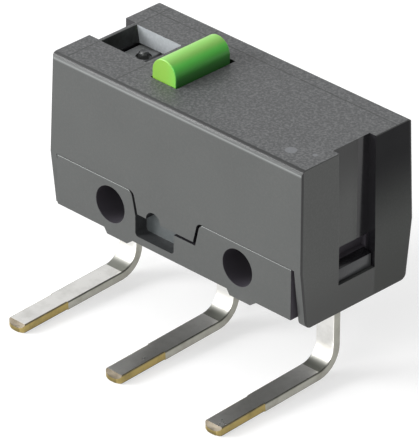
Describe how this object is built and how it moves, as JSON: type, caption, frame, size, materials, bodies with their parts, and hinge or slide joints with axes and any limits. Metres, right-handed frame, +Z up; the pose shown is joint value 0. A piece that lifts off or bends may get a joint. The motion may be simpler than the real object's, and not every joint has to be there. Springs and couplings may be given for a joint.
{
  "type": "micro switch",
  "caption": "Ultra-subminiature snap-action micro switch with a pin plunger, two through mounting holes and three right-angle terminals",
  "frame": {"origin": "midway between the two mounting holes, in the middle of the case's depth", "axes": "+X along the case towards the terminal of the contact closed at rest, +Y along the mounting holes away from the terminals' tips, +Z up out of the plunger"},
  "size_m": [0.0128, 0.0089, 0.0108],
  "materials": {
    "cover_plastic": "glass-filled PBT, eroded texture on the roof and satin on the sides",
    "base_plastic": "glass-filled PBT, satin as moulded",
    "plunger_plastic": "green acetal, smooth as moulded",
    "plated_brass": "brass strip, bright silver plating, bare brass on the sheared tips",
    "spring_copper": "beryllium copper strip, bright rolled",
    "contact_silver": "silver rivet, burnished"
  },
  "bodies": {
    "housing": {"cover": "cover_plastic", "base": "base_plastic", "com_terminal": "plated_brass", "no_terminal": "plated_brass", "nc_terminal": "plated_brass", "no_contact": "contact_silver", "nc_contact": "contact_silver"},
    "button": {"plunger": "plunger_plastic"},
    "contact_arm": {"snap_spring": "spring_copper", "moving_contact": "contact_silver"}
  },
  "joints": [
    {"name": "press", "type": "slide", "parent": "housing", "child": "button", "axis": [0, 0, -1], "range_m": [0, 0.0007], "stiffness_N_per_m": 1000},
    {"name": "blade", "type": "hinge", "parent": "button", "child": "contact_arm", "pos_m": [-0.00178, -0.00003, 0.00257], "axis": [0, -1, 0], "range_deg": [0, 2.75], "deforming": ["snap_spring"]}
  ],
  "couplings": [
    {"joint": "blade", "follows": "press", "rad_per_m": 68.5}
  ]
}
